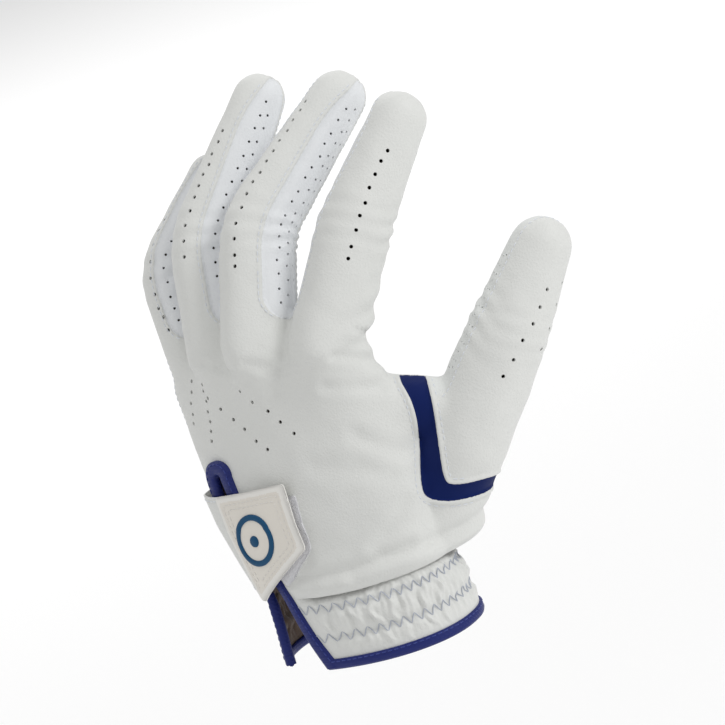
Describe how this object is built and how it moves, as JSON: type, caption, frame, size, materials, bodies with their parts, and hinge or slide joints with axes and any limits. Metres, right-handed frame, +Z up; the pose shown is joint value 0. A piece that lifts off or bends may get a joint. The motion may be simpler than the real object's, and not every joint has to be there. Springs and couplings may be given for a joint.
{
  "type": "golf glove",
  "caption": "Left-hand golf glove in a worn shape, with bending finger stalls, a slit wrist and a peel-open closure tab.",
  "frame": {"origin": "centre of the hand opening, at the hem's plane", "axes": "+Z up the cuff's axis to the fingertips, +X to the thumb side, +Y to the palm side; the back of the hand faces between -X and -Y"},
  "size_m": [0.1445, 0.1036, 0.1872],
  "materials": {
    "white_leather": "soft tanned sheepskin, fine grain, low sheen",
    "fork_leather": "the same leather with rows of pierced holes",
    "navy_microfibre": "brushed microfibre",
    "navy_binding": "folded binding tape",
    "elastic_tape": "woven elastic",
    "loop_tape": "brushed loop tape",
    "hook_tape": "moulded hook tape",
    "tab_lining": "knitted lining",
    "tab_skin": "moulded soft skin with a fine leather grain",
    "emblem_blue": "raised moulded blue ring"
  },
  "bodies": {
    "hand": {"back_panel": "white_leather", "palm_panel": "white_leather", "hem_binding": "navy_binding", "slit_binding": "navy_binding", "wrist_elastic": "elastic_tape", "thumb_gusset_band": "navy_microfibre", "loop_pad": "loop_tape", "index_knuckle_bend": "white_leather", "middle_knuckle_bend": "white_leather", "ring_knuckle_bend": "white_leather", "little_knuckle_bend": "white_leather", "thumb_knuckle_bend": "white_leather"},
    "closure_tab": {"tab_cover": "tab_skin", "tab_backing": "tab_lining", "hook_pad": "hook_tape", "tab_emblem": "emblem_blue"},
    "index_base": {"index_back_base": "white_leather", "index_palm_base": "white_leather", "index_fork_ulnar_base": "fork_leather", "index_middle_bend": "white_leather"},
    "index_tip": {"index_back_tip": "white_leather", "index_palm_tip": "white_leather", "index_fork_ulnar_tip": "fork_leather"},
    "middle_base": {"middle_back_base": "white_leather", "middle_palm_base": "white_leather", "middle_fork_ulnar_base": "fork_leather", "middle_fork_radial_base": "fork_leather", "middle_middle_bend": "white_leather"},
    "middle_tip": {"middle_back_tip": "white_leather", "middle_palm_tip": "white_leather", "middle_fork_ulnar_tip": "fork_leather", "middle_fork_radial_tip": "fork_leather"},
    "ring_base": {"ring_back_base": "white_leather", "ring_palm_base": "white_leather", "ring_fork_ulnar_base": "fork_leather", "ring_fork_radial_base": "fork_leather", "ring_middle_bend": "white_leather"},
    "ring_tip": {"ring_back_tip": "white_leather", "ring_palm_tip": "white_leather", "ring_fork_ulnar_tip": "fork_leather", "ring_fork_radial_tip": "fork_leather"},
    "little_base": {"little_back_base": "white_leather", "little_palm_base": "white_leather", "little_fork_radial_base": "fork_leather", "little_middle_bend": "white_leather"},
    "little_tip": {"little_back_tip": "white_leather", "little_palm_tip": "white_leather", "little_fork_radial_tip": "fork_leather"},
    "thumb_base": {"thumb_back_base": "white_leather", "thumb_palm_base": "white_leather", "thumb_middle_bend": "white_leather"},
    "thumb_tip": {"thumb_back_tip": "white_leather", "thumb_palm_tip": "white_leather"}
  },
  "joints": [
    {"name": "index_knuckle", "type": "hinge", "parent": "hand", "child": "index_base", "pos_m": [0.014, -0.006, 0.0995], "axis": [-0.6, 0.8, 0], "range_deg": [-15, 35], "deforming": ["index_knuckle_bend"]},
    {"name": "index_middle", "type": "hinge", "parent": "index_base", "child": "index_tip", "pos_m": [0.0375, 0, 0.1351], "axis": [-0.3054, 0.9468, 0.1018], "range_deg": [-10, 35], "deforming": ["index_middle_bend"]},
    {"name": "middle_knuckle", "type": "hinge", "parent": "hand", "child": "middle_base", "pos_m": [-0.006, 0.005, 0.1055], "axis": [-0.6, 0.8, 0], "range_deg": [-15, 35], "deforming": ["middle_knuckle_bend"]},
    {"name": "middle_middle", "type": "hinge", "parent": "middle_base", "child": "middle_tip", "pos_m": [0.0062, 0.017, 0.1413], "axis": [-0.195, 0.9481, -0.251], "range_deg": [-20, 25], "deforming": ["middle_middle_bend"]},
    {"name": "ring_knuckle", "type": "hinge", "parent": "hand", "child": "ring_base", "pos_m": [-0.0185, 0.02, 0.1035], "axis": [-0.6, 0.8, 0], "range_deg": [-15, 35], "deforming": ["ring_knuckle_bend"]},
    {"name": "ring_middle", "type": "hinge", "parent": "ring_base", "child": "ring_tip", "pos_m": [-0.0121, 0.034, 0.1403], "axis": [-0.1109, 0.9351, -0.3367], "range_deg": [-20, 20], "deforming": ["ring_middle_bend"]},
    {"name": "little_knuckle", "type": "hinge", "parent": "hand", "child": "little_base", "pos_m": [-0.027, 0.038, 0.1], "axis": [-0.6, 0.8, 0], "range_deg": [-15, 35], "deforming": ["little_knuckle_bend"]},
    {"name": "little_middle", "type": "hinge", "parent": "little_base", "child": "little_tip", "pos_m": [-0.027, 0.05, 0.1323], "axis": [-0.288, 0.8979, -0.333], "range_deg": [-20, 25], "deforming": ["little_middle_bend"]},
    {"name": "thumb_knuckle", "type": "hinge", "parent": "hand", "child": "thumb_base", "pos_m": [0.0465, -0.012, 0.0563], "axis": [0.5916, 0.6866, -0.4226], "range_deg": [-25, 20], "deforming": ["thumb_knuckle_bend"]},
    {"name": "thumb_middle", "type": "hinge", "parent": "thumb_base", "child": "thumb_tip", "pos_m": [0.074, -0.012, 0.0878], "axis": [0.5916, 0.6866, -0.4226], "range_deg": [-40, 15], "deforming": ["thumb_middle_bend"]},
    {"name": "tab_root", "type": "hinge", "parent": "hand", "child": "closure_tab", "pos_m": [-0.0379, 0.0297, 0.045], "axis": [0.1939, -0.2849, -0.9387], "range_deg": [0, 120]}
  ]
}
